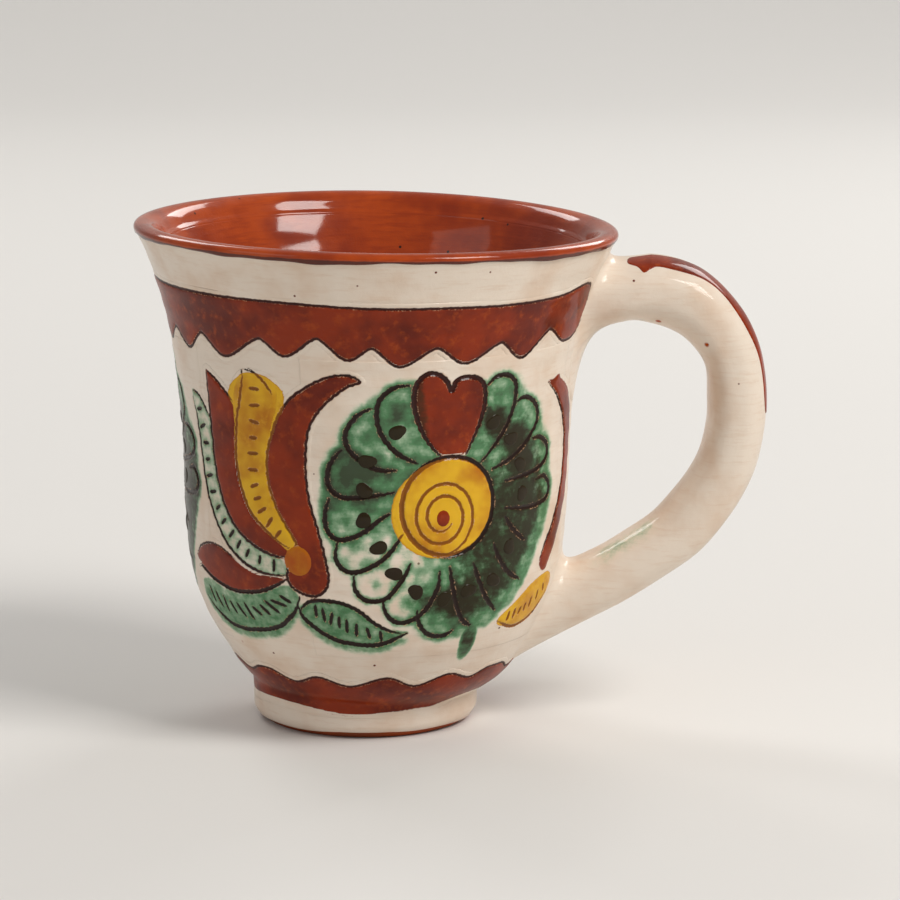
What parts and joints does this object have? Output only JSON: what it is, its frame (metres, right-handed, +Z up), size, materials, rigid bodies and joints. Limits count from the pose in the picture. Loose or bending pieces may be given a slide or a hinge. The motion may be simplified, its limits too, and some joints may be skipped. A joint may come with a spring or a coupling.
{
  "type": "clay mug",
  "caption": "Bell-shaped red-clay mug with a pulled loop handle, a small foot, white slip outside, brown scalloped bands and cut-line flowers and tulips in green, yellow and brown glaze",
  "frame": {"origin": "on the cup's axis, on the plane that the foot stands on", "axes": "+Z up along the cup's axis, +X towards the handle, -Y towards the side with the whole flower and tulip"},
  "size_m": [0.1184, 0.09, 0.0948],
  "materials": {
    "clay": "matt red earthenware, bare on the foot ring",
    "white_slip": "cream white slip under a thin clear glaze, with dark specks",
    "clear_glaze": "glossy clear glaze over red clay",
    "brown_slip": "glossy red-brown slip under glaze",
    "green_glaze": "glossy copper green that runs at its edges",
    "yellow_glaze": "glossy iron yellow",
    "dark_glaze": "near-black brown where glaze pools in a dot"
  },
  "bodies": {
    "root": {"clay_body": "clay", "handle": "clay", "body_slip": "white_slip", "foot_slip": "white_slip", "handle_slip": "white_slip", "lining_glaze": "clear_glaze", "lip_glaze": "clear_glaze", "upper_band": "brown_slip", "lower_band": "brown_slip", "handle_stripe": "brown_slip", "front_petals": "green_glaze", "front_petal_dots": "dark_glaze", "front_heart": "brown_slip", "front_eye": "yellow_glaze", "front_eye_dot": "brown_slip", "side_petals": "green_glaze", "side_petal_dots": "dark_glaze", "side_heart": "brown_slip", "side_eye": "yellow_glaze", "side_eye_dot": "brown_slip", "front_tulip_inner": "brown_slip", "front_tulip_outer": "brown_slip", "front_tulip_leaf": "yellow_glaze", "front_side_leaf": "green_glaze", "front_base_leaf": "brown_slip", "front_ball": "yellow_glaze", "front_low_leaf": "green_glaze", "front_mid_leaf": "green_glaze", "back_tulip_inner": "brown_slip", "back_tulip_outer": "brown_slip", "back_tulip_leaf": "yellow_glaze", "back_side_leaf": "green_glaze", "back_base_leaf": "brown_slip", "back_ball": "yellow_glaze", "back_low_leaf": "green_glaze", "back_mid_leaf": "green_glaze", "front_crescent": "brown_slip", "front_small_leaf": "yellow_glaze", "back_crescent": "brown_slip", "back_small_leaf": "yellow_glaze"}
  },
  "joints": []
}
